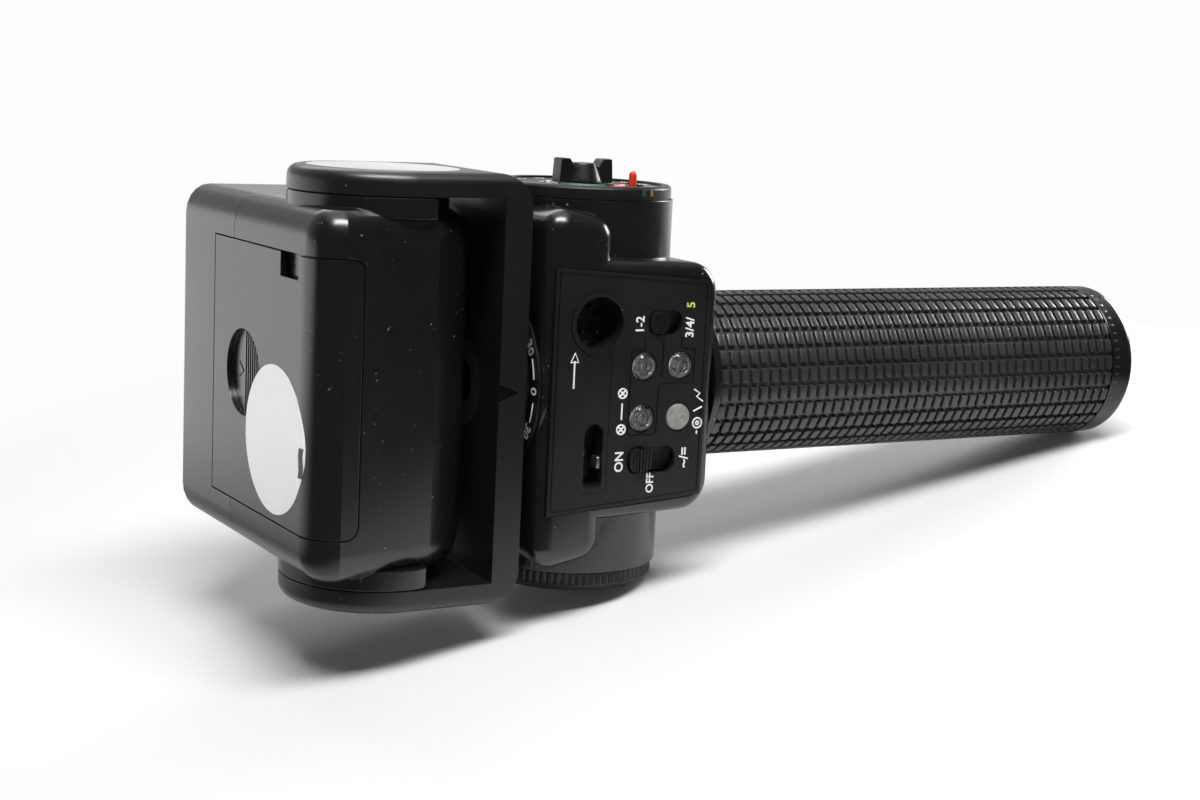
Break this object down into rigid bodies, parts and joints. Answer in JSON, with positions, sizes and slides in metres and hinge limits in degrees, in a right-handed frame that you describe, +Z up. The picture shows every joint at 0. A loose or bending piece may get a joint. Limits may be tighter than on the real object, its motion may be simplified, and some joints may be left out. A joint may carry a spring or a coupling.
{
  "type": "handle mount flash",
  "caption": "Handle mount flash with a tilting and swivelling lamp head in a yoke, a control panel, a setting dial with wing knob, a knurled wheel and a long waffle rubber grip.",
  "frame": {"origin": "middle of the underside of the overall box, with the flash lying on its side on the knurled wheel and the lower yoke arm", "axes": "+X along the handle from the head to the handle's end, +Y the way the lamp head fires, +Z up through the dial"},
  "size_m": [0.2714, 0.0976, 0.1142],
  "materials": {
    "grip_rubber": "moulded waffle rubber",
    "black_shell": "satin black moulded shell",
    "black_panel": "flat black panel",
    "black_knob": "satin black",
    "inner_plastic": "plain moulded",
    "red_pin": "bright red",
    "clear_lens": "clear",
    "milky_button": "translucent white",
    "bright_metal": "turned steel",
    "brass_part": "turned brass",
    "reflector_metal": "polished sheet",
    "capacitor_can": "sleeved can",
    "cell_can": "plain sleeved cell",
    "board": "green laminate",
    "winding": "taped winding"
  },
  "bodies": {
    "body": {"rubber_grip": "grip_rubber", "grip_collar": "black_shell", "handle_tube": "inner_plastic", "end_cap": "black_shell", "main_capacitor": "capacitor_can", "body_rear_shell": "black_shell", "body_front_shell": "black_shell", "body_screws": "bright_metal", "bracket_socket": "brass_part", "swivel_scale": "black_panel", "swivel_bearing": "inner_plastic", "control_panel": "black_panel", "sensor_socket": "black_panel", "socket_contacts": "brass_part", "lamp_windows": "clear_lens", "signal_lamps": "clear_lens", "mode_switch": "inner_plastic", "power_switch": "inner_plastic", "test_switch": "inner_plastic", "circuit_board": "board", "transformer": "winding", "dial_deck": "inner_plastic", "dial_bezel": "black_shell", "dial_plate": "black_panel", "dial_control": "inner_plastic", "wheel_bush": "brass_part"},
    "yoke": {"yoke_frame": "black_shell", "swivel_shaft": "bright_metal", "swivel_clip": "bright_metal", "tilt_pins": "bright_metal", "pivot_covers": "black_shell"},
    "head": {"head_rear_shell": "black_shell", "head_front_bezel": "black_shell", "lamp_window": "clear_lens", "reflector": "reflector_metal", "flash_tube": "clear_lens", "tube_holders": "inner_plastic", "trigger_coil": "winding", "battery_tray": "inner_plastic", "battery_cells": "cell_can", "cell_contacts": "bright_metal", "tilt_washers": "bright_metal"},
    "cover": {"battery_cover": "black_shell"},
    "mode_switch_cap": {"mode_slider": "black_knob"},
    "power_switch_cap": {"power_slider": "black_knob"},
    "test_key": {"test_button": "milky_button"},
    "knob": {"wing_knob": "black_knob", "knob_spindle": "bright_metal"},
    "speed_setting": {"speed_disc": "inner_plastic", "setting_pin": "red_pin"},
    "wheel": {"knurled_wheel": "black_knob", "wheel_stud": "bright_metal"}
  },
  "joints": [
    {"name": "yoke_swivel", "type": "hinge", "parent": "body", "child": "yoke", "pos_m": [-0.07641, -0.02125, 0.0555], "axis": [1, 0, 0], "range_deg": [-90, 180]},
    {"name": "head_tilt", "type": "hinge", "parent": "yoke", "child": "head", "pos_m": [-0.10391, -0.02125, 0.0555], "axis": [0, 0, 1], "range_deg": [0, 65]},
    {"name": "cover_slide", "type": "slide", "parent": "head", "child": "cover", "axis": [0.0539, -0.9985, 0], "range_m": [0, 0.014]},
    {"name": "knob_turn", "type": "hinge", "parent": "body", "child": "knob", "pos_m": [-0.04541, -0.01895, 0.0555], "axis": [0, 0, 1], "range_deg": [-120, 120]},
    {"name": "speed_turn", "type": "hinge", "parent": "body", "child": "speed_setting", "pos_m": [-0.04541, -0.01895, 0.0555], "axis": [0, 0, 1], "range_deg": [-60, 60]},
    {"name": "wheel_turn", "type": "hinge", "parent": "body", "child": "wheel", "pos_m": [-0.04541, -0.01895, 0.0555], "axis": [0, 0, 1], "continuous": true},
    {"name": "mode_slide", "type": "slide", "parent": "body", "child": "mode_switch_cap", "axis": [1, 0, 0], "range_m": [0, 0.0042]},
    {"name": "power_slide", "type": "slide", "parent": "body", "child": "power_switch_cap", "axis": [1, 0, 0], "range_m": [0, 0.0072]},
    {"name": "test_press", "type": "slide", "parent": "body", "child": "test_key", "axis": [0, 1, 0], "range_m": [0, 0.0009], "stiffness_N_per_m": 400}
  ]
}
